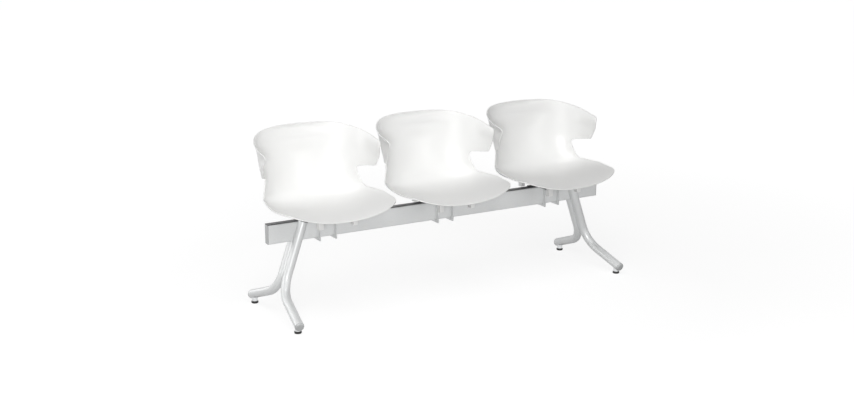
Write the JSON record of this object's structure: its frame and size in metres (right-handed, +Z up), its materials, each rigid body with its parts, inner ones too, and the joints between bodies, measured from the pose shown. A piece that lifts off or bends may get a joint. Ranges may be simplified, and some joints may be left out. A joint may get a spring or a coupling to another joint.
{
  "type": "beam seating",
  "caption": "Row of moulded one-piece seat shells with low wing backs, carried by a rectangular steel beam on paired bent tube legs with levelling feet.",
  "frame": {"origin": "middle of the seating's footprint on the floor, at the middle of its overall length and depth", "axes": "+X along the beam, to the right as seen from the front (names say left and right as seen from the front), +Y from the front of the seats to their backs, +Z up"},
  "size_m": [1.6542, 0.5058, 0.7443],
  "materials": {
    "shell_plastic": "satin moulded white",
    "block_plastic": "moulded white",
    "frame_paint": "smooth light grey powder coat",
    "black_steel": "satin black powder coat",
    "black_plastic": "matt black",
    "cap_plastic": "moulded light grey",
    "zinc_steel": "bright zinc plate",
    "pad_rubber": "matt black"
  },
  "bodies": {
    "root": {"beam_end_cap_left": "cap_plastic", "beam_end_cap_right": "cap_plastic", "beam_top_strip": "black_plastic", "beam_tube": "frame_paint", "clamp_bar_left": "frame_paint", "clamp_bar_middle": "frame_paint", "clamp_bar_right": "frame_paint", "clamp_bolts_left": "zinc_steel", "clamp_bolts_middle": "zinc_steel", "clamp_bolts_right": "zinc_steel", "foot_collar_front_left": "zinc_steel", "foot_collar_front_right": "zinc_steel", "foot_collar_rear_left": "zinc_steel", "foot_collar_rear_right": "zinc_steel", "hook_plate_left_left": "frame_paint", "hook_plate_left_right": "frame_paint", "hook_plate_middle_left": "frame_paint", "hook_plate_middle_right": "frame_paint", "hook_plate_right_left": "frame_paint", "hook_plate_right_right": "frame_paint", "leg_end_cap_front_left": "cap_plastic", "leg_end_cap_front_right": "cap_plastic", "leg_end_cap_rear_left": "cap_plastic", "leg_end_cap_rear_right": "cap_plastic", "leg_top_plug_front_left": "black_plastic", "leg_top_plug_front_right": "black_plastic", "leg_top_plug_rear_left": "black_plastic", "leg_top_plug_rear_right": "black_plastic", "leg_tube_front_left": "frame_paint", "leg_tube_front_right": "frame_paint", "leg_tube_rear_left": "frame_paint", "leg_tube_rear_right": "frame_paint", "seat_blocks_left": "block_plastic", "seat_blocks_middle": "block_plastic", "seat_blocks_right": "block_plastic", "seat_frame_left": "black_steel", "seat_frame_middle": "black_steel", "seat_frame_right": "black_steel", "seat_screws_left": "zinc_steel", "seat_screws_middle": "zinc_steel", "seat_screws_right": "zinc_steel", "seat_shell_left": "shell_plastic", "seat_shell_middle": "shell_plastic", "seat_shell_right": "shell_plastic"},
    "foot_front_left": {"foot_pad_front_left": "pad_rubber", "foot_stem_front_left": "zinc_steel"},
    "foot_rear_left": {"foot_pad_rear_left": "pad_rubber", "foot_stem_rear_left": "zinc_steel"},
    "foot_front_right": {"foot_pad_front_right": "pad_rubber", "foot_stem_front_right": "zinc_steel"},
    "foot_rear_right": {"foot_pad_rear_right": "pad_rubber", "foot_stem_rear_right": "zinc_steel"}
  },
  "joints": [
    {"name": "foot_level_front_left", "type": "slide", "parent": "root", "child": "foot_front_left", "axis": [0, 0, -1], "range_m": [0, 0.012]},
    {"name": "foot_level_rear_left", "type": "slide", "parent": "root", "child": "foot_rear_left", "axis": [0, 0, -1], "range_m": [0, 0.012]},
    {"name": "foot_level_front_right", "type": "slide", "parent": "root", "child": "foot_front_right", "axis": [0, 0, -1], "range_m": [0, 0.012]},
    {"name": "foot_level_rear_right", "type": "slide", "parent": "root", "child": "foot_rear_right", "axis": [0, 0, -1], "range_m": [0, 0.012]}
  ]
}
